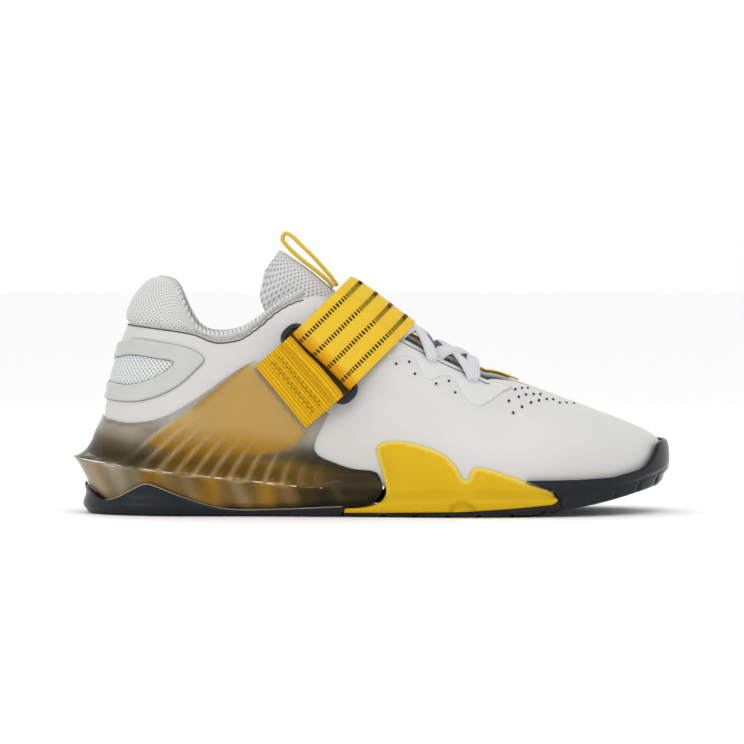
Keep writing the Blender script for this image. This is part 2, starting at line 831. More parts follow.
def woven_look(name, light, dark, period, axis=0, grain=0.35, depth=0.0004, deep=None):
    """Ribs over the sizes in the UV map. A deep colour shows from DEEP_FROM on along the strap."""
    look = Look(name, 0.8, Specular_IOR_Level=0.15)
    ribs = look.waves(look.uv(), axis, period)
    noise = look.noise(1500, 3)
    tone = look.math("ADD", look.math("MULTIPLY", ribs, 0.5), look.math("MULTIPLY", noise, 0.5))
    color = look.ramp(tone, [(0.15, dark), (0.6, light)])
    if deep:
        parts = look.node("ShaderNodeSeparateXYZ")
        look.link(look.uv(), parts.inputs[0])
        near = look.math("MULTIPLY_ADD", parts.outputs[0], 1 / DEEP_BLEND, -DEEP_FROM / DEEP_BLEND)
        near = look.math("MINIMUM", look.math("MAXIMUM", near, 0.0), 1.0)
        color = look.blend(near, color, look.ramp(tone, [(0.15, dark), (0.7, deep)]))
    look.color(color)
    look.relief(ribs, depth, 0.6)
    look.relief(noise, 0.0002, grain)
    return look.material


def rubber_look(name, color, worn, roughness, shine=0.35):
    look = Look(name, roughness, Specular_IOR_Level=shine)
    look.color(look.ramp(look.noise(35, 4), [(0.35, color), (0.75, worn)]))
    look.relief(look.noise(700, 3), 0.00015, 0.25)
    return look.material


LEATHER = leather_look()
KNIT = knit_look("knit_mesh", srgb(222, 222, 221), srgb(172, 174, 177), 0.0024)
WINDOW_KNIT = knit_look("window_mesh", srgb(232, 233, 233), srgb(140, 143, 148), 0.0025)
LINING = knit_look("lining_mesh", srgb(222, 222, 220), srgb(166, 168, 170), 0.0023, 0.0003)
ELASTIC = woven_look("elastic_yellow", srgb(252, 212, 60), srgb(222, 170, 28), 0.0011,
                     deep=srgb(232, 158, 10))
WEBBING = woven_look("webbing_yellow", srgb(238, 186, 20), srgb(190, 136, 4), 0.0016, depth=0.0006)
TAPE = woven_look("tape_yellow", srgb(250, 212, 70), srgb(216, 166, 34), 0.0012)
STITCH = woven_look("stitch_yellow", srgb(170, 122, 6), srgb(120, 84, 2), 0.0008)
LACE = woven_look("lace_grey", srgb(228, 228, 230), srgb(206, 207, 211), 0.0014, axis=1)
RUBBER = rubber_look("dark_rubber", srgb(26, 31, 36), srgb(38, 44, 48), 0.26, 0.16)
RING_PLASTIC = rubber_look("dark_gloss", srgb(18, 26, 36), srgb(26, 36, 48), 0.16, 0.35)
COUNTER = rubber_look("counter_film", srgb(200, 201, 197), srgb(208, 209, 205), 0.38)
EYESTAY = rubber_look("eyestay_film", srgb(218, 218, 215), srgb(223, 223, 220), 0.34)
GAP = rubber_look("window_gap", srgb(120, 122, 120), srgb(134, 136, 134), 0.8)
SEAM = rubber_look("seam_dark", srgb(84, 84, 80), srgb(104, 104, 100), 0.8)
PINHOLE = rubber_look("pinhole", srgb(30, 30, 30), srgb(40, 40, 40), 0.9)
OLIVE = rubber_look("olive_cloth", srgb(92, 80, 34), srgb(112, 98, 46), 0.9, 0.1)
BLACK_YARN = rubber_look("black_yarn", srgb(34, 28, 14), srgb(56, 46, 22), 0.85, 0.1)


def foam_look():
    look = Look("yellow_foam", 0.34, Specular_IOR_Level=0.18)
    plain = look.ramp(look.noise(14, 3), [(0.3, srgb(212, 168, 4)), (0.75, srgb(228, 186, 12))])
    look.color(look.blend(look.attribute("rim"), plain, srgb(250, 222, 92)))
    look.relief(look.noise(500, 3), 0.00012, 0.2)
    return look.material


FOAM = foam_look()


def ridge_look():
    look = Look("ridge", 0.1, Specular_IOR_Level=1.0)
    look.color(look.ramp(look.noise(90, 2), [(0.42, srgb(92, 78, 50)), (0.62, srgb(236, 230, 214))]))
    return look.material


RIDGE_LINE = ridge_look()
PALE_LINE = rubber_look("pale_line", srgb(132, 120, 98), srgb(176, 168, 150), 0.3)


def smoke_look():
    """Smoky plastic. Attributes give its tone, how clear it is and how much gold shines through."""
    look = Look("smoke", 0.14, Specular_IOR_Level=0.14)
    tone = look.math("ADD", look.attribute("tone"), look.math("MULTIPLY_ADD", look.noise(30, 3), 0.14, -0.07))
    smoky = look.ramp(tone, [
        (0.0, srgb(24, 18, 6)), (0.25, srgb(58, 48, 24)), (0.5, srgb(104, 92, 66)),
        (0.75, srgb(160, 152, 132)), (1.0, srgb(214, 212, 202)),
    ])
    golden = look.ramp(tone, [
        (0.0, srgb(44, 32, 0)), (0.25, srgb(106, 78, 4)), (0.5, srgb(178, 128, 24)),
        (0.75, srgb(206, 162, 74)), (1.0, srgb(228, 194, 118)),
    ])
    look.color(look.blend(look.attribute("gold"), smoky, golden))
    look.link(look.math("SUBTRACT", 1.0, look.attribute("clear")), look.shader.inputs["Alpha"])
    look.relief(look.noise(90, 2), 0.0003, 0.08)
    return look.material


def core_look():
    look = Look("core", 0.5, Specular_IOR_Level=0.3)
    tone = look.math("ADD", look.attribute("tone"), look.math("MULTIPLY_ADD", look.noise(50, 3), 0.3, -0.15))
    look.color(look.ramp(tone, [
        (0.0, srgb(34, 24, 4)), (0.35, srgb(104, 70, 16)), (0.6, srgb(166, 122, 48)),
        (0.9, srgb(206, 190, 158)),
    ]))
    look.relief(look.noise(150, 3), 0.0006, 0.2)
    return look.material


SMOKE = smoke_look()
CORE = core_look()


TUBE_SIDES = 8


def tube(name, points, radius, material, slot, normals):
    """A thin round bead along a line of points."""
    points = np.array(points, float)
    tangents = tangents_of(points)
    sides = unit(np.cross(tangents, np.array(normals, float)))
    ups = np.cross(sides, tangents)
    turns = np.linspace(0, 2 * math.pi, TUBE_SIDES, endpoint=False)[:, None]
    builder = Builder()
    loops = []
    for point, side, up, length in zip(points, sides, ups, run_of(points)):
        ring = point + radius * (side * np.cos(turns) + up * np.sin(turns))
        loops.append(builder.row(ring, np.hstack([np.full((TUBE_SIDES, 1), length), turns * radius])))
    builder.sleeve(loops, capped=True)
    return builder.piece(name, material, slot=slot)


def along_wall(way, side, offset, surface=on_upper):
    """Points on the upper's wall, or on the sole, along a way of the side view, and their normals."""
    way = resampled(way, 1.2, False)
    rays = [ray_of(x, z, side, surface, offset) for x, z in way]
    points = surface(rays, way[:, 1], np.full(len(way), offset))
    return points, wall_at(rays, way[:, 1])[1]


# Upper: one hollow wall with soft creases
def crease(points, way, depth, width):
    """A soft trough (below 0) or ridge along a way of the side view, on the outer side."""
    gaps = distance_to(points[:, [0, 2]], np.array(way, float), closed=False)
    return depth * bell(gaps, width)


HEEL_COLUMN = 103.6


def photo(*pixels):
    """Places measured in the photograph, in the side view."""
    return [((px - HEEL_COLUMN) * MM_PER_PIXEL, (FLOOR_ROW - py) * MM_PER_PIXEL) for px, py in pixels]


CREASES = [
    # way, depth, width
    (photo((392, 396), (425, 412), (455, 432)), -0.4, 8),
    (photo((505, 386), (498, 410), (500, 440)), -0.45, 8),
    (photo((540, 396), (530, 425), (540, 455)), -0.35, 9),
    (photo((215, 345), (250, 335), (290, 330)), -0.3, 7),
]


def upper_piece():
    flat = UPPER.reshape(-1, 3)
    relief = sum(crease(flat, way, depth, width) for way, depth, width in CREASES)
    relief = (relief * np.where(flat[:, 1] < 0, 1, 0.7)).reshape(RAYS, STEPS_UP + 1)
    level = np.linspace(0, 1, STEPS_UP + 1)[None, :]
    relief *= soft(level * 4) * soft((1 - level) * 5)
    builder = Builder()
    shell(builder, UPPER, UPPER_NORMALS, relief, np.full_like(relief, -WALL), ARC[:-1], True)
    builder.piece("upper_leather", LEATHER, node="upper", slot="upper_leather")


upper_piece()


# Collar lining with its padded tab
LINING_THICKNESS = 3
LINING_DEPTH = 20
LINING_SHARE = 0.36
HIDDEN_STEPS, SHOWN_STEPS = 5, 16
TAB_PUFF = 3.2


def lining_rows(last_ray):
    """Rays of the lining, each first behind the leather and then above its edge."""
    rows = []
    for k in range(-last_ray, last_ray + 1):
        base = ray_base(OUTER if k < 0 else INNER, abs(k))
        hidden = trimmed_ray(base, past_leather(0), HIDDEN_STEPS,
                             lambda p: p[2] < leather_edge(p[0], 0) - LINING_DEPTH)
        shown = trimmed_ray(base, lambda p: p[2] > lining_edge(p[0]), SHOWN_STEPS,
                            lambda p: p[2] < leather_edge(p[0], 0) + 0.5)
        rows.append(np.vstack([hidden, shown]))
    return np.array(rows)


def collar_lining():
    """The lining with its padded tab at the back, thinner towards its front ends."""
    last_ray = HEEL_RAYS + round(SIDE_RAYS * LINING_SHARE)
    rows = lining_rows(last_ray)
    first_shown = HIDDEN_STEPS + 1
    puff = TAB_PUFF * soft((HEEL_PIVOT - rows[:, first_shown:, 0]) / 22)
    rise = np.linspace(0, 1, SHOWN_STEPS + 1)[None, :]
    pillow = np.sqrt(np.clip(1 - (2 * rise - 1) ** 2, 0, 1))
    outside = np.full(rows.shape[:2], -WALL - FIT)
    outside[:, first_shown:] = puff * (0.35 + 0.65 * pillow) + 0.2 + 0.9 * pillow
    front = soft((last_ray - np.abs(np.arange(len(rows)) - last_ray)) / 5)[:, None]
    inside = np.tile(-WALL - FIT - mix(1, LINING_THICKNESS, front), (1, rows.shape[1]))
    builder = Builder()
    shell(builder, rows, -grid_normals(rows, False), outside, inside, run_of(rows[:, first_shown]), False)
    piece = builder.piece("collar_lining_mesh", LINING, node="collar_lining", slot="knit")


collar_lining()


def collar_seam():
    """A dark line along the leather's edge."""
    end = LINING_SHARE * SIDE_RAYS + HEEL_RAYS
    rays = np.arange(-end, end, 0.5)
    tops = by_ray(UPPER[:, -1, 2], rays)
    tube("collar_seam", on_upper(rays, tops - 0.3, 0.0), 0.42, SEAM, slot="knit",
         normals=wall_at(rays, tops)[1])


collar_seam()


# Counter ring round the mesh window
RING_OUTLINE = [
    (-0.03, 0.6), (0.034, 0.646), (0.06, 0.668), (0.12, 0.644), (0.159, 0.616), (0.186, 0.557), (0.17, 0.495),
    (0.139, 0.409), (0.1, 0.349), (0.062, 0.321), (0.01, 0.33), (-0.03, 0.345),
]
WINDOW_OUTLINE = [
    (-0.03, 0.55), (0.024, 0.561), (0.054, 0.579), (0.1, 0.561), (0.133, 0.538), (0.12, 0.495),
    (0.091, 0.445), (0.052, 0.412), (0.015, 0.425), (-0.03, 0.433),
]


def one_side(points, side, surface, turns=0):
    """A way of the side view as arc and height, a number of turns back round the shoe."""
    return [(arc_of(ray_of(x, z, side, surface) - turns * RAYS), z) for x, z in points]


def wrapped(points, surface, toe=False):
    """The same on both sides, as one closed outline round the heel or the toe that starts in the middle."""
    return one_side(points, OUTER, surface) + one_side(points, INNER, surface, 0 if toe else 1)[::-1]


def counter_ring():
    """A dished frame round a mesh window, each with a dark line at its edge."""
    outline = wrapped(side_curve(RING_OUTLINE, 4, height_at), on_upper)
    window = wrapped(side_curve(WINDOW_OUTLINE, 4, height_at), on_upper)
    outer_line, window_line = (resampled(way, 1.5, True) for way in (outline, window))

    def lift(arc, height, d):
        flat = np.stack([arc, height], axis=1)
        a, b = distance_to(flat, outer_line), distance_to(flat, window_line)
        dish = 0.55 * np.sin(math.pi * a / np.maximum(a + b, 1e-6)) ** 2
        return on_upper(ray_at(arc), height, 1.6 - rounded(d, 1.0) - dish)

    plate("heel_counter_ring_film", outline, lift, lambda a, h: on_upper(ray_at(a), h, FIT), COUNTER,
          spacing=2.4, holes=[window], node="heel_counter_ring", slot="counter_film")
    plate("heel_window_mesh", window, lambda a, h, d: on_upper(ray_at(a), h, 0.2 + 0.25 * soft(d / 4)),
          lambda a, h: on_upper(ray_at(a), h, -0.3), WINDOW_KNIT, spacing=2.4, slot="knit")
    for name, way, radius in (("heel_ring_edge", outline, 0.28), ("heel_window_edge", window, 0.34)):
        line = resampled(way, 1.5, False)
        rays = ray_at(line[:, 0])
        tube(name, on_upper(rays, line[:, 1], 0.25), radius, GAP, slot="counter_film",
             normals=wall_at(rays, line[:, 1])[1])


counter_ring()


# Heel cup and midsole
PLATE_TOP = [
    (-0.02, 0.24), (0.029, 0.206), (0.056, 0.204), (0.092, 0.221), (0.12, 0.25), (0.159, 0.317),
    (0.197, 0.397), (0.222, 0.454), (0.273, 0.545),
]
PLATE_FRONT = [
    (0.405, 1.84), (0.391, 1.585), (0.38, 1.361), (0.378, 1.202), (0.386, 1.093), (0.405, 1.004),
    (0.444, 0.867), (0.484, 0.814), (0.492, 0.72), (0.497, 0.5), (0.49, 0.333), (0.469, 0.215),
    (0.429, 0.182),
]
OUTSOLE_TOP = [
    (-0.04, 0.56), (-0.018, 0.432), (-0.005, 0.328), (0.011, 0.266), (0.026, 0.291), (0.05, 0.412),
    (0.076, 0.552), (0.088, 0.57), (0.102, 0.528), (0.135, 0.392), (0.193, 0.195), (0.232, 0.125),
    (0.309, 0.125), (0.429, 0.182),
]
RIB_COUNT = 12


# Where the webbing shines through the film, in the side view
GOLD_ZONE = photo((250, 360), (309, 430), (292, 446), (262, 452), (205, 454), (160, 444), (150, 438),
                  (200, 402))
# Where the layers of the straps lie under the film
STRAP_ZONE = photo((262, 350), (318, 420), (282, 452), (240, 470), (190, 425), (205, 395))


def rib_relief(points):
    """Slanting ribs above the ridge: how far each point stands out."""
    total = np.zeros(len(points))
    for share in np.linspace(0, 1, RIB_COUNT):
        foot_x = mix(0.045, 0.385, share) * LENGTH
        foot = np.array([foot_x, ridge_curve(foot_x) + 0.3])
        rise = mix(1.15, 0.55, share) * HEEL_STACK
        span = np.array([mix(1.2, 0.3, share) * rise, rise])
        t = ((points - foot) @ span) / (span @ span)
        bend = 0.88 * np.sin(math.pi * np.clip(t, 0, 1))
        gap = np.abs((points - foot) @ unit(np.array([-span[1], span[0]])) - bend)
        ends = np.where(t[:, None] < 0, foot, foot + span)
        gap = np.where((t < 0) | (t > 1), np.linalg.norm(points - ends, axis=1), gap)
        width = 1.9 * (1 - 0.55 * np.clip(t, 0, 1))
        total = np.maximum(total, bell(gap, width) * soft((1 - t) * 1.4) * soft((t + 0.1) * 9))
    return total


def zone(points, polygon, blur):
    """From 0 outside a zone of the side view to 1 inside it."""
    polygon = np.array(polygon)
    signed = distance_to(points, polygon) * np.where(inside_polygon(points, polygon), 1, -1)
    return soft(signed / blur + 0.5)


def heel_share(x):
    """From 1 round the heel to 0 at the waist of the shoe."""
    return soft((0.3 * LENGTH - x) / 55)


def side_view(arc, height):
    """Where points of the sole's outer form lie in the side view."""
    return on_sole(ray_at(arc), height, 0.0)[:, [0, 2]]


def above_ridge(arc, height):
    return height - np.array([ridge_curve(x) for x in by_ray(UPPER[:, 0, 0], ray_at(arc))])


CUP_TOP = np.vstack([side_curve(PLATE_TOP, 4, height_at), side_curve(PLATE_FRONT, 4, sole_height)])
CUP_FOOT = side_curve(OUTSOLE_TOP, 4, sole_height)[::-1] + np.array([0, FIT])
top_line = np.array(wrapped(CUP_TOP, on_sole))
top_line = top_line[np.argsort(top_line[:, 0])]
FILM_THICKNESS = 1.3
RIB_HEIGHT = 1.1
RIDGE_BEAD = 0.5
CUP_WAIST = 1.7
STRAP_ROOM = LOW_LAYER + STRAP_THICKNESS / 2


def from_top(arc, height):
    return distance_to(np.stack([arc, height], axis=1), top_line, closed=False)


def cup_outside(arc, height, d):
    flat, above = side_view(arc, height), above_ridge(arc, height)
    film = (1 - soft(from_top(arc, height) / 9)) * (above > 3) * (1 - zone(flat, STRAP_ZONE, 3))
    waist = CUP_WAIST * heel_share(flat[:, 0]) * np.sin(math.pi * soft(-above / (1.1 * HEEL_STACK))) ** 0.7
    relief = RIB_HEIGHT * rib_relief(flat) + RIDGE_BEAD * bell(above, 1.1) - np.where(above < 0, waist, 0)
    return on_sole(ray_at(arc), height, relief - (CUP_WALL - FILM_THICKNESS) * film - rounded(d, 0.7))


def cup_inside(arc, height):
    """The cup's inside: on the upper, over the straps, and round the block below the foot."""
    rays = ray_at(arc)
    below = by_ray(FEET, rays) - height
    whole = sole_offset(rays, height)
    film = 0.15 + mix(FIT, STRAP_ROOM, zone(side_view(arc, height), STRAP_ZONE, 3))
    inward = np.where(below < 0, film, mix(film, whole - 3.2, soft(below / 5)))
    return on_upper(rays, height, np.minimum(inward, whole - 0.6))


def cup_tone(arc, height, d):
    """From 0, the darkest smoke, to 1, the palest."""
    flat, above = side_view(arc, height), above_ridge(arc, height)
    x, ribs = flat[:, 0], rib_relief(flat)
    ahead = soft((x - 0.3 * LENGTH) / 26)

    # Above the ridge: pale towards the top, at the rear sooner, and dark at the waist of the shoe
    high = mix(0.2, 0.88, soft((above - 5) / 24) ** 0.8) + 0.42 * ribs**2
    rear = mix(0.26, 0.86, soft((above - 3) / 15) ** 1.3)
    high = mix(high, rear, 0.9 * soft((0.12 * LENGTH - x) / 20))
    back_edge = distance_to(flat, np.array(GOLD_ZONE[-1:] + GOLD_ZONE[:1]), closed=False)
    high -= 0.3 * bell(back_edge, 2.4) * zone(flat, GOLD_ZONE, 2.0)
    high = mix(high, 0.26 + 0.1 * ribs, ahead * (1 - soft((above - 14) / 8)))

    # Below it: streaks, and a dark edge over the outsole except at the back
    streaks = 0.1 * np.sin(x / 2.6 + 0.2 * flat[:, 1]) * np.sin(x / 7.3 + 1)
    low = 0.5 + streaks + 0.2 * soft((0.09 * LENGTH - x) / 22) - 0.28 * ahead
    behind = 1 - soft((x - 0.2 * LENGTH) / 12) * 0.9
    low -= 0.4 * (1 - soft(d / 4.5)) * (1 - behind * (1 - bell(x + 1, 5)))

    line = 0.5 * bell(above, 0.8) * (0.6 + 0.4 * np.sin(x / 3.4)) * (1 - ahead)
    edge = 0.12 * bell(d - 0.6, 0.5) * (above > 4)
    return np.clip(np.where(above > 0, high, low) + line - edge, 0, 1)


def cup_gold(arc, height, d):
    """How much gold shines through: the webbing above the ridge, uneven patches below it."""
    flat, above = side_view(arc, height), above_ridge(arc, height)
    x, ribs = flat[:, 0], rib_relief(flat) ** 2
    webbing = 0.95 * zone(flat, GOLD_ZONE, 2.0) * (1 - 0.4 * ribs)
    olive = 0.9 * (1 - 0.9 * ribs) * soft((14 - above) / 6) * soft((x - 22) / 16) * (1 - soft((x - 96) / 30))
    patches = mix(0.3, 0.8, soft(np.sin(x / 4.6 + 2) * 0.9)) * mix(0.35, 1, soft((x - 14) / 14))
    return np.clip(np.where(above > 0, np.maximum(webbing, olive), patches * (1 - soft((x - 96) / 18))), 0, 1)


def cup_clear(arc, height, d):
    """How clear the cup is: most at the thin film near its top."""
    flat, above = side_view(arc, height), above_ridge(arc, height)
    film = np.where(above < 0, 0.1, mix(0.02, 0.5, soft((above - 6) / 24)))
    film = mix(film, 0.1, 0.8 * soft((0.1 * LENGTH - flat[:, 0]) / 18))
    film += 0.25 * (1 - soft(from_top(arc, height) / 10)) * (above > 8)
    return np.clip(mix(film, 0.42 * soft((above - 4) / 14), zone(flat, GOLD_ZONE, 2.0)), 0, 0.8)


plate("heel_cup", wrapped(np.vstack([CUP_TOP, CUP_FOOT]), on_sole), cup_outside, cup_inside, SMOKE,
      spacing=1.5, edge=1.1, insets=(0.3, 0.8), node="heel_clip", slot="smoke",
      attributes={"tone": cup_tone, "clear": cup_clear, "gold": cup_gold})

CORE_RAYS = int(np.interp(0.485 * LENGTH, UPPER[: HALF + 1, 0, 0], np.arange(HALF + 1)))


def heel_core():
    """The block under the heel, inside the smoky wall."""
    builder = Builder()
    rays = np.arange(-CORE_RAYS, CORE_RAYS + 1)
    tones, loops = [], []
    for level in np.linspace(0, 1, 7):
        heights = mix(2.5, by_ray(FEET, rays) - 0.6, level)
        offsets = np.minimum(sole_offset(rays, heights) - 4.2, 3.0) - 1.5 * (level == 1)
        points = on_upper(rays, heights, offsets)
        loops.append(builder.row(points))
        tones.extend(0.45 + 0.3 * np.sin(points[:, 0] / 5.3) * np.sin(points[:, 0] / 2.2 + level))
    builder.sleeve(loops, capped=True)
    builder.piece("heel_core", CORE, attributes={"tone": tones}, slot="smoke", smooth=False)


heel_core()


def ridge_beads():
    """The bright bead along the ridge."""
    for side, name in ((OUTER, "outer"), (INNER, "inner")):
        rays = -side * np.arange(0, CORE_RAYS * 0.86, 0.4)
        heights = np.array([ridge_curve(x) for x in by_ray(UPPER[:, 0, 0], rays)])
        tube(f"heel_ridge_{name}", on_sole(rays, heights, 0.42), 0.32, RIDGE_LINE, slot="smoke",
             normals=wall_at(rays, heights)[1])


ridge_beads()


def sole_lines():
    """The pale line where the cup meets the heel outsole, on both sides."""
    pale = side_curve(OUTSOLE_TOP[3:], 4, sole_height) + np.array([0, 0.25])
    for side, name in ((OUTER, "outer"), (INNER, "inner")):
        points, normals = along_wall(pale, side, 0.35, on_sole)
        tube(f"outsole_line_{name}", points, 0.3, PALE_LINE, slot="smoke", normals=normals)


sole_lines()

# The outsoles' smooth sides, laid as thin skins over their solids
SKIN = 0.4
SKIN_DEPTH = 1.2
HEEL_TUCK = 1.6
SOLE_FLARE = 2.6


def heel_skin():
    """The heel outsole's smooth side, which flares out again towards the floor."""
    top = side_curve(OUTSOLE_TOP, 4, sole_height)
    foot = np.array([(0.415 * LENGTH, 0.3), (0.2 * LENGTH, 0.3), (-0.04 * LENGTH, 0.3)])
    outline = wrapped(np.vstack([top[:-1], foot]), on_sole)

    def lift(arc, height, d):
        x = side_view(arc, height)[:, 0]
        flare = SOLE_FLARE * soft((11 - height) / 7) - HEEL_TUCK * soft((4.2 - height) / 4)
        return on_sole(ray_at(arc), height, SKIN + flare * heel_share(x) - rounded(d, 0.5))

    plate("outsole_heel_side", outline, lift, lambda a, h: on_sole(ray_at(a), h, -SKIN_DEPTH), RUBBER,
          spacing=1.8, edge=1.2, insets=(0.3, 0.8), slot="dark_rubber")


heel_skin()

BUMPER_TOP = [
    (0.75, 0.66), (0.842, 0.667), (0.905, 0.699), (0.953, 0.821), (0.969, 0.929), (0.982, 1.106),
    (0.99, 1.26), (1.03, 1.25),
]
TOE_STEP = photo((561, 491.8), (586, 488.8), (609, 485.2), (632, 480.5), (655, 473.5), (680, 462))
SIPE_DEPTH = 1.3
TOE_SIPES = photo((583, 489.2), (614, 484.4), (637, 479.5), (656, 473))


def toe_skin():
    """The toe cap's smooth side with its stepped lip and sipes."""
    top = side_curve(BUMPER_TOP, 4, sole_height)[::-1]
    top = top[top[:, 0] > 0.772 * LENGTH]
    wing_side = side_curve([(0.778, 0.56), (0.801, 0.446), (0.812, 0.3), (0.808, 0.24)], 3, sole_height)
    foot = [(x, ground_line(x) + 0.4) for x in np.linspace(0.815, 1.03, 12) * LENGTH]
    outline = wrapped(np.vstack([top, wing_side, foot]), on_sole, toe=True)
    step = np.array(TOE_STEP)

    def lift(arc, height, d):
        flat = side_view(arc, height)
        under = np.interp(flat[:, 0], step[:, 0], step[:, 1]) - flat[:, 1]
        lip = 0.9 * soft(under / 0.8 + 0.5) - 0.5 * bell(under + 0.5, 0.7)
        slant = 0.35 * np.clip(under, 0, 6)
        slots = np.max([bell(flat[:, 0] - x + slant, 0.55) for x, _ in TOE_SIPES], axis=0)
        relief = lip - SIPE_DEPTH * slots * soft(under / 0.8) - rounded(d, 0.9)
        return on_sole(ray_at(arc), height, SKIN + relief)

    plate("toe_cap_side", outline, lift, lambda a, h: on_sole(ray_at(a), h, -SKIN_DEPTH), RUBBER, spacing=1.2,
          insets=(0.25, 0.6, 1.0), slot="dark_rubber")


toe_skin()


# The wing at the ball
WING_EDGE = [
    (0.431, 0.153), (0.471, 0.19), (0.493, 0.286), (0.501, 0.446), (0.496, 0.741), (0.487, 1.087),
    (0.485, 1.248), (0.496, 1.33), (0.529, 1.355), (0.574, 1.248), (0.608, 1.087), (0.626, 0.874),
    (0.637, 0.7), (0.645, 0.68), (0.65, 0.794), (0.657, 0.887), (0.678, 0.874), (0.717, 0.754),
    (0.757, 0.607), (0.796, 0.446), (0.805, 0.286),
]
WING_FOOT = [(0.796, 0.219), (0.717, 0.15), (0.639, 0.105), (0.535, 0.085), (0.431, 0.07)]


LEDGE = 2.2


def wing():
    """A yellow shell on each side, with a step above the floor, a dent and a scallop."""
    way = np.vstack([side_curve(WING_EDGE, 4, sole_height) + np.array([2 * FIT, 0]),
                     side_curve(WING_FOOT, 4, sole_height)])
    dent = np.array(photo((465, 475.7), (467, 480), (469.4, 486)))
    rim = curve([share * LENGTH for share in (0.4, 0.5, 0.62, 0.68, 0.83)], [7.4, 7.8, 8.4, 8.6, 10])
    scallop = np.array(photo((449.5, 506), (450.5, 501), (454, 497.5), (460, 496.3), (466, 497.5),
                             (471.5, 500), (474, 505)))
    for side, name in ((OUTER, "forefoot_wing_outer"), (INNER, "forefoot_wing_inner")):
        outline = one_side(way, side, on_sole)

        def lift(arc, height, d):
            flat = side_view(arc, height)
            dip = bell(distance_to(flat, dent, closed=False), 1.6)
            line = np.array([rim(x) for x in flat[:, 0]])
            step = LEDGE * soft((line - flat[:, 1]) / 1.2 + 0.5) * (1 - zone(flat, scallop, 0.9))
            return on_sole(ray_at(arc), height, step + 1.4 * soft(d / 8) - 1.7 - dip - rounded(d, 1.3))

        def base(arc, height):
            rays = ray_at(arc)
            return on_upper(rays, height, np.minimum(FIT + 0.1, sole_offset(rays, height) - 2.5))

        def edge_light(arc, height, d):
            return 0.75 * bell(d - 0.7, 0.8) * soft((height - 9) / 4)

        piece = plate(name, outline, lift, base, FOAM, spacing=1.5, edge=0.9, insets=(0.2, 0.55, 1.1),
                      attributes={"rim": edge_light}, slot="yellow_foam")
        if side == OUTER:
            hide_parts("forefoot_wing")


wing()


# Insole
INSOLE_GAP = 0.5
INSOLE_BEVEL = 0.7
INSOLE_SIDE, INSOLE_HEIGHT = 3.2, 4
INSOLE_DISH = 1.2
INSOLE_STEPS = 10


def insole():
    """A sole of foam with bevelled edges and a slightly dished top."""
    builder = Builder()
    out = unit(UPPER_NORMALS[:, 0] * (1, 1, 0))
    loops = [builder.row(UPPER[:, 0] - out * (WALL + INSOLE_GAP + bevel) + np.array([0, 0, lift]))
             for bevel, lift in ((0, 0), (0, INSOLE_SIDE), (INSOLE_BEVEL, INSOLE_HEIGHT))]
    builder.sleeve(loops)
    top = loops[-1]
    previous = None
    for i in range(1, HALF):
        a, b = np.array(builder.verts[top[i]]), np.array(builder.verts[top[RAYS - i]])
        t = np.linspace(0, 1, INSOLE_STEPS + 1)[1:-1, None]
        points = mix(a, b, t)
        points[:, 2] -= INSOLE_DISH * np.sin(math.pi * t[:, 0]) ** 0.8
        row = [top[i], *builder.row(points, points[:, :2]), top[RAYS - i]]
        if previous:
            builder.strip(previous, row)
        else:
            builder.faces.extend((top[0], row[n], row[n + 1]) for n in range(INSOLE_STEPS))
        previous = row
    builder.faces.extend((top[HALF], previous[n + 1], previous[n]) for n in range(INSOLE_STEPS))
    builder.faces.append(loops[0][::-1])
    piece = builder.piece("insole_foam", LINING, node="insole", slot="knit")


insole()


# Shape of the closed last at a place
def crown_at(x, y):
    return mix(crown_line(x, 0), crown_line(x, INNER), ease(y / THROAT_END))


def top_of(x, y):
    """How high the last is at a place along and across."""
    half = BALL_HALF * (outer_share(x) if y < lean(x, 1) else inner_share(x))
    square = square_at(x)
    reach = min(0.98, abs(y - swing(x) - lean(x, 1)) / half)
    return mix(featherline(x), crown_at(x, y), (1 - reach**square) ** (1 / square))


def flank_of(x, z, side, crown=None):
    """How far out the last's side lies at a place and height."""
    crown = crown_line(x, side) if crown is None else crown
    half = BALL_HALF * (outer_share(x) if side < 0 else inner_share(x))
    square = square_at(x)
    rise = clamp((z - featherline(x)) / (crown - featherline(x)))
    reach = (1 - rise**square) ** (1 / square)
    return side * half * reach * bulge(rise) + swing(x) + lean(x, rise)


# Tongue: along, up, half, sag, thick
TONGUE = [
    (0.78, 0.3, 0.36, 0.08, 0.5), (0.745, 0.355, 0.42, 0.1, 0.6), (0.715, 0.4, 0.45, 0.11, 0.7),
    (0.66, 0.45, 0.5, 0.14, 0.8), (0.6, 0.548, 0.54, 0.18, 0.9), (0.55, 0.643, 0.54, 0.21, 1),
    (0.5, 0.745, 0.52, 0.26, 1), (0.45, 0.852, 0.48, 0.38, 1.2), (0.41, 0.945, 0.42, 0.52, 1.6),
    (0.37, 1.05, 0.39, 0.6, 2), (0.335, 1.127, 0.39, 0.47, 2), (0.317, 1.166, 0.36, 0.24, 0.9),
]
TONGUE_THICKNESS = 4
ACROSS = np.sin(np.linspace(-math.pi / 2, math.pi / 2, 25))


def smooth_rows(rows, steps):
    """Rows between the rows of a table, by distance in the side view and without overshoot."""
    rows = np.array(rows, float)
    at = run_of(rows[:, :2] * (LENGTH, TAB_HEIGHT))
    columns = [curve(list(at), list(column)) for column in rows.T]
    fine = [t for a, b in zip(at, at[1:]) for t in np.linspace(a, b, steps, endpoint=False)]
    return [[column(t) for column in columns] for t in [*fine, at[-1]]]


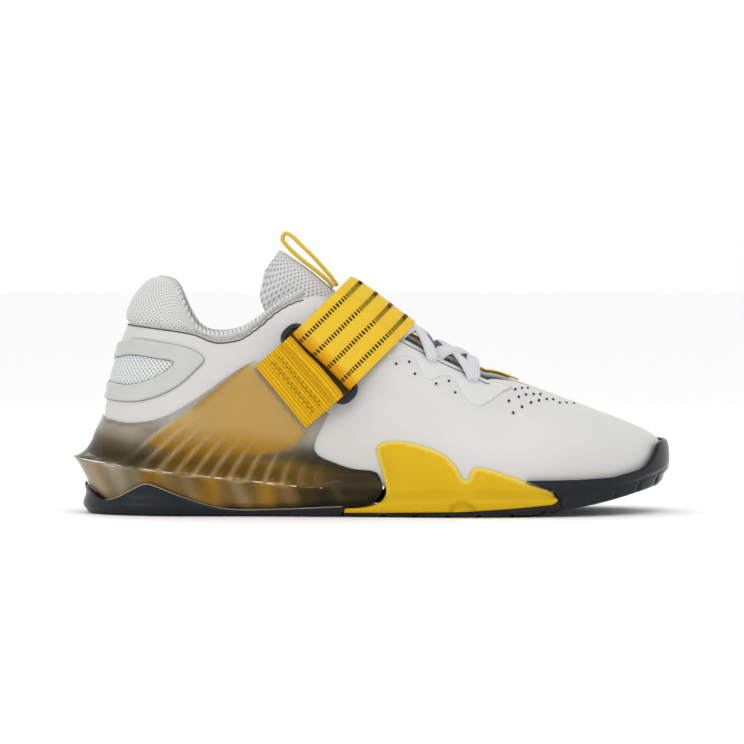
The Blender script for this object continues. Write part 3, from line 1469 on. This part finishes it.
def tongue_ring(point, tangent, row, end):
    """One section of the tongue: outer face, then inner face."""
    _, _, half, sag, thick = row
    middle = swing(point[0]) + 0.5 * lean(point[0], 1)
    front = np.array([tangent[2], 0, -tangent[0]])

    def face(share, inward):
        points = np.tile(point, (len(share), 1))
        points[:, 1] += middle + share * np.where(share > 0, 0.86, 1.0) * half * BALL_HALF
        return points + front * (-sag * BALL_HALF * np.abs(share) ** 2.2 - inward)[:, None]

    thickness = TONGUE_THICKNESS * thick * (0.55 + 0.45 * end)
    outside = face(ACROSS, 0.35 * (1 - end) + 0.3 * np.abs(ACROSS) ** 8)
    inside = face(ACROSS[::-1] * 0.97, thickness * (1 - 0.6 * np.abs(ACROSS[::-1]) ** 4))
    return np.vstack([outside, inside])


def tongue():
    """A padded sheet of mesh that follows the table's rows."""
    rows = smooth_rows(TONGUE, 6)
    spine = np.array([(row[0] * LENGTH, 0, height_at(row[1])) for row in rows])
    tangents = tangents_of(spine)
    builder = Builder()
    loops = []
    for n, (row, length) in enumerate(zip(rows, run_of(spine))):
        end = ease(min(n, len(rows) - 1 - n) / 3)
        width = np.concatenate([ACROSS, ACROSS[::-1]]) * row[2] * BALL_HALF
        uv = np.stack([width, np.full(len(width), length)], axis=1)
        loops.append(builder.row(tongue_ring(spine[n], tangents[n], row, end), uv))
    builder.sleeve(loops)
    builder.folded_end(loops[0])
    builder.folded_end(loops[-1])
    piece = builder.piece("tongue_mesh", KNIT, node="tongue", slot="knit")


tongue()


# Pull loop
LOOP = [
    (0.4119, 0.9528), (0.4, 0.996), (0.382, 1.044), (0.354, 1.112), (0.331, 1.18), (0.321, 1.225),
    (0.326, 1.257), (0.338, 1.24), (0.352, 1.198), (0.372, 1.138), (0.393, 1.066), (0.407, 1.015),
    (0.419, 0.962),
]
LOOP_RIBBON = 1.9
LOOP_WIDTH = 12


def pull_loop():
    """A ribbon along a way of the side view, across the shoe."""
    points = side_curve(LOOP, 8, height_at)
    tangents = tangents_of(points)
    middle = lean(LOOP[0][0] * LENGTH, 1)
    half, thin = LOOP_WIDTH / 2, LOOP_RIBBON / 2
    section = [(-half, -thin * 0.4), (-half + 0.4, -thin), (half - 0.4, -thin), (half, -thin * 0.4)]
    section += [(y, -h) for y, h in section[::-1]]
    builder = Builder()
    loops = []
    for (x, z), (along, up), length in zip(points, tangents, run_of(points)):
        ring = [(x + up * h, middle + y, z - along * h) for y, h in section]
        loops.append(builder.row(ring, [(length, y) for y, _ in section]))
    builder.sleeve(loops, capped=True)
    builder.piece("pull_loop_ribbon", TAPE, node="pull_loop", slot="yellow_webbing")


pull_loop()


# Straps and ring, laid on the last
def direction_at(degrees):
    """A unit way in the side view."""
    return np.array([math.cos(math.radians(degrees)), math.sin(math.radians(degrees))])


def with_lengths(points, origin, direction):
    """Points and their lengths along the path, counted from where it passes the strap's origin."""
    points = np.array(points)
    lengths = run_of(points)
    values = (points[:, [0, 2]] - origin) @ direction
    start = int(np.argmax(values >= 0))
    t = -values[start - 1] / (values[start] - values[start - 1])
    return points, lengths - mix(lengths[start - 1], lengths[start], t)


def origin_at(direction, across):
    return np.array([RING_X, RING_Z]) + across * np.array([direction[1], -direction[0]])


def under_strap(x, y, z, lift):
    """Whether a point lies within the last, raised by lift over the instep where the strap spans it."""
    if z < featherline(x):
        return abs(y) < BALL_HALF * 0.9
    lowered = z - lift * ease((0.84 * BALL_HALF - abs(y - INSTEP_TURN)) / (0.28 * BALL_HALF))
    crown = crown_at(x, y)
    return lowered < crown and flank_of(x, lowered, OUTER, crown) < y < flank_of(x, lowered, INNER, crown)


def strap_path(across):
    """The way over the instep at one place across the strap, found along rays from within the last."""
    direction = direction_at(STRAP_ANGLE)
    origin = origin_at(direction, across)
    lift = STRAP_LIFT * mix(1, 0.45, ease(across / STRAP_WIDTH + 0.5))
    points = []
    for angle in np.linspace(-0.42, math.pi + 0.75, 97):
        low, high = 0.0, 120.0
        for _ in range(20):
            middle = (low + high) / 2
            x, z = origin + middle * math.sin(angle) * direction
            if under_strap(x, -middle * math.cos(angle), z, lift):
                low = middle
            else:
                high = middle
        x, z = origin + low * math.sin(angle) * direction
        points.append((x, -low * math.cos(angle), z))
    return with_lengths(points, origin, direction)


def flank_path(direction, across):
    """The way on the outer flank at one place across the webbing or the ring."""
    origin = origin_at(direction, across)
    points = []
    for distance in np.arange(-WEBBING_RUN - 20, 25, 2):
        x, z = origin + distance * direction
        points.append((x, flank_of(x, max(z, featherline(x)), OUTER), z))
    return with_lengths(points, origin, direction)


def along_path(path, lengths):
    """Points at lengths, straight on beyond the path's ends."""
    points, known = path
    found = np.stack([np.interp(lengths, known, points[:, n]) for n in range(3)], axis=1)
    for end, near in ((0, 1), (-1, -2)):
        way = (points[end] - points[near]) / abs(known[end] - known[near])
        beyond = (known[0] - lengths) if end == 0 else (lengths - known[-1])
        found += np.clip(beyond, 0, None)[:, None] * way
    return found


def over_path(path, direction, lengths, heights):
    """Points over a path, each at a length along it and a height above the last."""
    lengths = np.asarray(lengths, float)
    here = along_path(path, lengths)
    across = np.array([direction[1], 0, -direction[0]])
    normals = unit(np.cross(along_path(path, lengths + 1.5) - along_path(path, lengths - 1.5), across))
    flip = normals[:, 1] * (here[:, 1] - INSTEP_TURN) + normals[:, 2] * BALL_HALF / 2 < 0
    normals[flip] *= -1
    return here + normals * np.asarray(heights, float)[:, None]


def lay_strip(name, paths, places, direction, line, thickness, material, node=None, slot=None):
    """A band whose centre line of length and height is laid on paths, one for each place across its width."""
    line = np.array(line, float)
    tangents = tangents_of(line)
    normals = np.stack([-tangents[:, 1], tangents[:, 0]], axis=1)
    run = run_of(line)
    builder = Builder()
    loops = []
    for place, path in zip(places, paths):
        thin = thickness / 2 * math.sqrt(max(0.12, 1 - abs(place / places[-1]) ** 14))
        both = np.vstack([line + normals * thin, (line - normals * thin)[::-1]])
        points = over_path(path, direction, both[:, 0], both[:, 1])
        uv = np.stack([np.concatenate([run, run[::-1]]), np.full(2 * len(run), place)], axis=1)
        loops.append(builder.row(points, uv))
    builder.sleeve(loops)
    builder.folded_end(loops[0])
    builder.folded_end(loops[-1])
    return builder.piece(name, material, node=node, slot=slot)


def fold_round(bar, away):
    """The half circle of a strap's centre line round one bar of the ring."""
    radius = RING_BAR / 2 + RING_SLACK + STRAP_THICKNESS / 2
    return [(bar + away * radius * math.cos(angle), RING_HEIGHT + radius * math.sin(angle))
            for angle in np.linspace(math.pi / 2, 1.5 * math.pi, 13)]


PLACES = np.sin(np.linspace(-math.pi / 2, math.pi / 2, 17)) * STRAP_WIDTH / 2
STRAP_PATHS = [strap_path(place) for place in PLACES]


def at_place(paths, place, lengths, heights, direction):
    """Points over the strap at one place across its width."""
    n = int(np.clip(np.searchsorted(PLACES, place) - 1, 0, len(PLACES) - 2))
    t = (place - PLACES[n]) / (PLACES[n + 1] - PLACES[n])
    low, high = (over_path(paths[m], direction, lengths, heights) for m in (n, n + 1))
    return mix(low, high, t)


def yarns(name, paths, direction, line, starts, size, material, slant=0.0, lift=0.14):
    """Short raised yarns on a strip's outer face, each at a place across and a length along."""
    tangents = tangents_of(line)
    outward = np.stack([tangents[:, 1], -tangents[:, 0]], axis=1)
    outward[outward[:, 1] < 0] *= -1
    surface = line + outward * (STRAP_THICKNESS / 2)
    run = run_of(surface)
    long, wide = size
    builder = Builder()
    for place, start in starts:
        loops = []
        for height, shrink in ((-0.4, 0.0), (lift * 0.7, 0.0), (lift, 0.18)):
            corners = []
            for side in (-1, 1):
                ends = start + np.array([shrink * long, (1 - shrink) * long]) + side * slant
                flat = np.stack([np.interp(ends, run, surface[:, n]) for n in (0, 1)], axis=1)
                reach = side * wide / 2 * (1 - shrink)
                edge = at_place(paths, place + reach, flat[:, 0], flat[:, 1] + height, direction)
                corners.extend(edge[::side])
            loops.append(builder.row(corners))
        builder.sleeve(loops, capped=True)
    return builder.piece(name, material, slot="yellow_webbing", smooth=False)


ELASTIC_ROWS = (-14.4, -4.9, 4.5, 14)
YARN_SPACING = 1.9
YARN_SIZE = (0.95, 2.3)
RUN_POINTS = 46


def strap_elastic():
    """Over the instep, then round the ring's upper bar and back under itself."""
    bar = BAR_SPACING / 2
    fold = fold_round(bar, 1)
    upper = LOW_LAYER + STRAP_THICKNESS + FIT
    run = [(length, LOW_LAYER) for length in np.linspace(STRAP_RUN, STRAP_UNDERLAP + 6, RUN_POINTS)]
    bends = catmull([
        (STRAP_UNDERLAP + 6, LOW_LAYER), (STRAP_UNDERLAP + 1.5, upper), (STRAP_UNDERLAP - 8, upper),
        (20, upper + 0.8), (13, upper + 2.6), fold[0],
    ], 5)[1:-1]
    back = catmull([
        fold[-1], (bar + 5, LOW_LAYER + 0.6), (18, LOW_LAYER), (26, LOW_LAYER), (STRAP_UNDERLAP, LOW_LAYER),
    ], 4)[1:]
    line = np.vstack([run, bends, fold, back])
    direction = direction_at(STRAP_ANGLE)
    lay_strip("strap_elastic_band", STRAP_PATHS, PLACES, direction, line, STRAP_THICKNESS, ELASTIC,
              node="strap_elastic", slot="yellow_webbing")
    shown = line[: RUN_POINTS + len(bends) + 8][::-1]
    starts = [(place, start) for place in ELASTIC_ROWS for start in np.arange(2.4, 136, YARN_SPACING)]
    yarns("strap_elastic_yarns", STRAP_PATHS, direction, shown, starts, YARN_SIZE, BLACK_YARN)


strap_elastic()


STITCH_PLACES = np.arange(-15.5, 16, 1.55)


def strap_webbing():
    """From under the sole's edge round the ring's lower bar, and down again as a flap."""
    bar = -BAR_SPACING / 2
    high = CUP_WALL + 2 * FIT + STRAP_THICKNESS / 2
    fold = fold_round(bar, -1)
    front = resampled(catmull([
        (-FLAP_LENGTH, high - 0.1), (-22, high + 0.3), (-18, high + 0.6), (bar - 5, RING_HEIGHT + 2), fold[0],
    ], 8), 0.4, False)[:-1]
    back = catmull([
        fold[-1], (bar - 5, LOW_LAYER + 0.6), (-18, LOW_LAYER), (-30, LOW_LAYER), (-45, LOW_LAYER),
        (-WEBBING_RUN, LOW_LAYER),
    ], 5)[1:]

    # Ribs beside the fold, and a raised band at the free end
    from_fold = front[:, 0] - bar
    ribs = 0.22 * np.cos(2 * math.pi * from_fold / 1.7) * soft((from_fold + 9) / 1.5)
    end_band = 0.35 * soft((-FLAP_LENGTH + 5.2 - front[:, 0]) / 0.9)
    front[:, 1] += ribs + end_band
    direction = direction_at(WEBBING_ANGLE)
    paths = [flank_path(direction, place) for place in PLACES]
    lay_strip("strap_webbing_band", paths, PLACES, direction, np.vstack([front, fold, back]), STRAP_THICKNESS,
              WEBBING, node="strap_webbing", slot="yellow_webbing")

    # Two rows of zigzag stitches across the flap
    starts = [(place, row + 0.8 * (n % 2)) for row in (11.6, 6.8) for n, place in enumerate(STITCH_PLACES)]
    yarns("strap_webbing_stitches", paths, direction, front, starts, (1.5, 0.75), STITCH, slant=0.3, lift=0.2)


strap_webbing()


RING_CORNER = 4.2
RING_POINTS = 14
BACKING_HEIGHT = 1.3
BACKING_THICKNESS = 0.8
BACKING_HALF = 3.2
BACKING_REACH = 1.1


def ring_way():
    """The ring's centre line as place across and distance along the strap."""
    half_long = STRAP_WIDTH / 2 + RING_BAR / 2 + 1 - RING_CORNER
    half_high = BAR_SPACING / 2 - RING_CORNER
    corners = []
    for cx, cy, start in ((1, -1, -90), (1, 1, 0), (-1, 1, 90), (-1, -1, 180)):
        for angle in np.radians(np.linspace(start, start + 90, 9)):
            corners.append((cx * half_long + RING_CORNER * math.cos(angle),
                            cy * half_high + RING_CORNER * math.sin(angle)))
    return resampled(corners, 1.2, True)


def strap_ring():
    """A round bar bent into a loop that the folds of both straps go round."""
    direction = direction_at(RING_ANGLE)
    points, above = (np.array([
        over_path(flank_path(direction, place), direction, [distance], [height])[0]
        for place, distance in ring_way()
    ]) for height in (RING_HEIGHT, RING_HEIGHT + 1))
    ups = above - points
    sides = unit(np.cross(tangents_of(points, True), ups))
    turns = np.linspace(0, 2 * math.pi, RING_POINTS, endpoint=False)[:, None]
    builder = Builder()
    loops = [builder.row(point + RING_BAR / 2 * (side * np.cos(turns) + up * 0.94 * np.sin(turns)))
             for point, side, up in zip(points, sides, ups)]
    builder.sleeve(loops, closed=True)
    builder.piece("strap_ring_loop", RING_PLASTIC, node="strap_ring", slot="dark_gloss")


def ring_backing():
    """A dark strip of cloth on the leather, seen between the two folds and through the ring's ends."""
    direction = direction_at(RING_ANGLE)
    places = PLACES * BACKING_REACH
    paths = [flank_path(direction, place) for place in places]
    line = [(length, BACKING_HEIGHT) for length in (-BACKING_HALF, 0, BACKING_HALF)]
    lay_strip("strap_ring_backing", paths, places, direction, line, BACKING_THICKNESS, OLIVE)


strap_ring()
ring_backing()

# Laces: holes from the top down
EYELETS = [(0.382, 0.866), (0.45, 0.757), (0.519, 0.645), (0.586, 0.54), (0.657, 0.432)]
LACE_WIDTH = 7.4
LACE_THICKNESS = 1.4
LACE_LIFT = 1.8 + LACE_THICKNESS / 2
LACE_FULLNESS = 2.5
LACE_CROSSING = 0.9
LACE_STEPS = 26
LACE_ENDS = 3
TUCK = 0.13


def eyelet(row, side):
    x = row[0] * LENGTH
    z = height_at(row[1]) + (INNER_RISE * 0.8 if side > 0 else 0)
    return np.array([x, flank_of(x, z, side), z])


def on_last(start, end, t):
    x, y = mix(start[0], end[0], t), mix(start[1], end[1], t)
    return np.array([x, y, top_of(x, y)])


def lace_frame(start, end, t):
    """Where a lace lies on the last at a share of its way, its normal, and its ways along and across."""
    here = on_last(start, end, t)
    along = unit(on_last(start, end, min(1, t + 0.02)) - on_last(start, end, max(0, t - 0.02)))
    slopes = [(top_of(here[0] + a, here[1] + b) - top_of(here[0] - a, here[1] - b)) / 2
              for a, b in ((1, 0), (0, 1))]
    normal = np.array([-slopes[0], -slopes[1], 1])
    normal = unit(normal - along * (normal @ along))
    return here, normal, along, unit(np.cross(normal, along))


def lace_bar(name, start, end, over=False, tucked=False, node=None):
    """A flat lace from hole to hole, over or under another. A tucked one starts under the throat's edge."""
    start = mix(start, end, TUCK) if tucked else start
    turns = np.linspace(0, 2 * math.pi, 14, endpoint=False)
    wide = np.copysign(np.abs(np.cos(turns)) ** 0.7, np.cos(turns))[:, None]
    centres, rings, widths = [], [], []
    for n in range(-LACE_ENDS, LACE_STEPS + LACE_ENDS + 1):
        t = clamp(n / LACE_STEPS)
        here, normal, along, across = lace_frame(start, end, t)
        into = max(0, -n, n - LACE_STEPS) / LACE_ENDS
        sink = 1 - ease(min(t, 1 - t) / 0.08)
        raised = LACE_LIFT + (LACE_CROSSING * math.sin(math.pi * t) if over else 0)
        height = mix(raised, -2.2 if tucked and t < 0.5 else 0.9, sink) - 4.5 * into
        centre = here + normal * height + along * (0.6 * into * (-1 if n < 0 else 1))
        width = LACE_WIDTH / 2 * (1 - 0.3 * sink - 0.15 * into)
        high = np.sin(turns)[:, None] * (1 + 0.35 * sink) * LACE_FULLNESS / 2
        centres.append(centre)
        rings.append(centre + across * wide * width + normal * high)
        widths.append(wide * width)
    builder = Builder()
    loops = [builder.row(ring, np.hstack([np.full_like(width, run), width]))
             for ring, width, run in zip(rings, widths, run_of(np.array(centres)))]
    builder.sleeve(loops, capped=True)
    builder.piece(name, LACE, node=node, slot="knit")


def lacing():
    holes = {side: [eyelet(row, side) for row in EYELETS] for side in (OUTER, INNER)}
    lace_bar("lace_bottom", holes[OUTER][4], holes[INNER][4], node="laces")
    for side, name in ((OUTER, "outer"), (INNER, "inner")):
        lace_bar(f"lace_top_{name}", holes[side][0], holes[side][1])
    for n in (1, 2, 3):
        lace_bar(f"lace_{n}_a", holes[OUTER][n], holes[INNER][n + 1], n % 2 == 1, tucked=True)
        lace_bar(f"lace_{n}_b", holes[INNER][n], holes[OUTER][n + 1], n % 2 == 0, tucked=True)


lacing()


# Tape on the inner edge of the throat
TAPE_SHOWN = 1.6
TAPE_BEHIND = 6
TAPE_RAY_STEPS = 60


def eyestay_tape():
    rows = []
    for k in range(HEEL_RAYS + round(SIDE_RAYS * 0.42), TOE_START + 13):
        is_past = past_throat if k > TOE_START else past_leather(INNER)
        whole = trimmed_ray(ray_base(INNER, k), is_past, TAPE_RAY_STEPS)
        start = int(np.argmax(np.linalg.norm(whole - whole[-1], axis=1) < TAPE_BEHIND))
        row = whole[np.linspace(start, TAPE_RAY_STEPS, 6).round().astype(int)]
        rows.append(np.vstack([row, row[-1] + unit(row[-1] - row[-2]) * TAPE_SHOWN]))
    rows = np.array(rows)
    builder = Builder()
    outside, inside = (np.full(rows.shape[:2], offset) for offset in (FIT + 0.9, FIT))
    shell(builder, rows, -grid_normals(rows, False), outside, inside, run_of(rows[:, 0]), False)
    builder.piece("eyestay_tape_band", TAPE, node="eyestay_tape", slot="yellow_webbing")


eyestay_tape()


# Film along the eyelets, with a wavy lower edge
EYESTAY_WAVE = photo(
    (378, 350), (392, 356), (407, 354.6), (415, 357), (420, 367), (425, 375.6), (432, 378), (442, 374.5),
    (452.5, 376), (460, 388), (468, 399), (477, 403.5), (486, 401), (494, 395.6), (504, 389), (513, 386),
)


EYESTAY_LIFT = 0.42
EYESTAY_DEPTH = 0.4
EYESTAY_INSET = 1.0
THROAT_SEAM_INSET = 2.2


def eyestay_film():
    """The film on both sides, with a dark seam along the throat's edge."""
    wave = catmull(EYESTAY_WAVE, 4)
    xs = np.linspace(wave[-1][0] - 12, wave[0][0] + 6, 40)
    for side, name in ((OUTER, "outer"), (INNER, "inner")):
        edge = np.array([(x, leather_edge(x, side)) for x in xs])
        outline = one_side(wave, side, on_upper) + one_side(edge - (0, EYESTAY_INSET), side, on_upper)
        plate(f"eyestay_film_{name}", outline,
              lambda a, h, d: on_upper(ray_at(a), h, EYESTAY_LIFT - rounded(d, 0.35)),
              lambda a, h: on_upper(ray_at(a), h, -EYESTAY_DEPTH), EYESTAY, spacing=2.2, insets=(0.2, 0.5),
              slot="upper_leather")
        seam, normals = along_wall(edge - (0, THROAT_SEAM_INSET), side, 0.45)
        tube(f"throat_seam_{name}", seam, 0.3, SEAM, slot="upper_leather", normals=normals)


eyestay_film()


# Small holes of the upper
HOLES = photo(
    (397, 362.4), (409.8, 360.6), (415.4, 372.3), (436.3, 382), (449, 379.5), (455, 390.5), (508, 398.7),
    (515, 388), (521.9, 387), (528, 387.3), (518, 395), (525.3, 393), (533, 392.7), (520.7, 404.4),
    (512, 410), (529.8, 400.4), (538, 398.4), (540, 393), (546, 397.5), (552.5, 398), (558.8, 401.3),
    (566, 401.7), (574, 402.7),
)


HOLE_RADIUS = 0.62
HOLE_DEPTH = 0.9
HOLE_HEIGHT = 0.55


def pinholes():
    """Dark discs set into the leather."""
    builder = Builder()
    turns = np.linspace(0, 2 * math.pi, 12, endpoint=False)[:, None]
    for side in (OUTER, INNER):
        for x, z in HOLES:
            ray = ray_of(x, z, side, on_upper)
            point, normal = wall_at([ray], [z])
            ahead = unit(wall_at([ray + 0.4], [z])[0] - point)
            up = np.cross(normal, ahead)
            rim = point + normal * HOLE_HEIGHT + HOLE_RADIUS * (ahead * np.cos(turns) + up * np.sin(turns))
            loops = [builder.row(rim), builder.row(rim - normal * HOLE_DEPTH)]
            builder.sleeve(loops, capped=True)
    builder.piece("upper_pinholes", PINHOLE, slot="upper_leather")


pinholes()

# Nodes whose shape is right get a finish of their own
for name in ("outsole_heel", "outsole_forefoot"):
    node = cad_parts[name]
    node.data.materials.clear()
    node.data.materials.append(RUBBER)

# Floor and light
bpy.context.scene.view_settings.view_transform = "Standard"
FLOOR_SIZE = 30
FLOOR_SHADE = 0.96
FLOOR = Look("floor", 0.7)
FLOOR.color((FLOOR_SHADE, FLOOR_SHADE, FLOOR_SHADE, 1))
bpy.ops.mesh.primitive_plane_add(size=FLOOR_SIZE, location=(0, 0, 0))
floor = bpy.context.object
floor.name = "floor"
floor.data.materials.append(FLOOR.material)

world = bpy.data.worlds.new("studio")
world.use_nodes = True
world.node_tree.nodes["Background"].inputs["Color"].default_value = (1, 1, 1, 1)
world.node_tree.nodes["Background"].inputs["Strength"].default_value = 1.0
bpy.context.scene.world = world


def area_light(name, place, aim, size, power):
    data = bpy.data.lights.new(name, "AREA")
    data.size = size
    data.energy = power
    light = bpy.data.objects.new(name, data)
    light.location = place
    light.rotation_euler = (Vector(aim) - Vector(place)).to_track_quat("-Z", "Y").to_euler()
    bpy.context.scene.collection.objects.link(light)


# Place, aim, size in metres and power in watts
area_light("key", (0.2, -0.7, 1.1), (0, 0, 0.05), 0.7, 3.5)
area_light("back", (-0.4, 0.9, 0.8), (0, 0, 0.08), 0.6, 2)
area_light("side", (-0.9, -0.7, 0.35), (0, 0, 0.06), 0.5, 1)

bpy.context.view_layer.update()
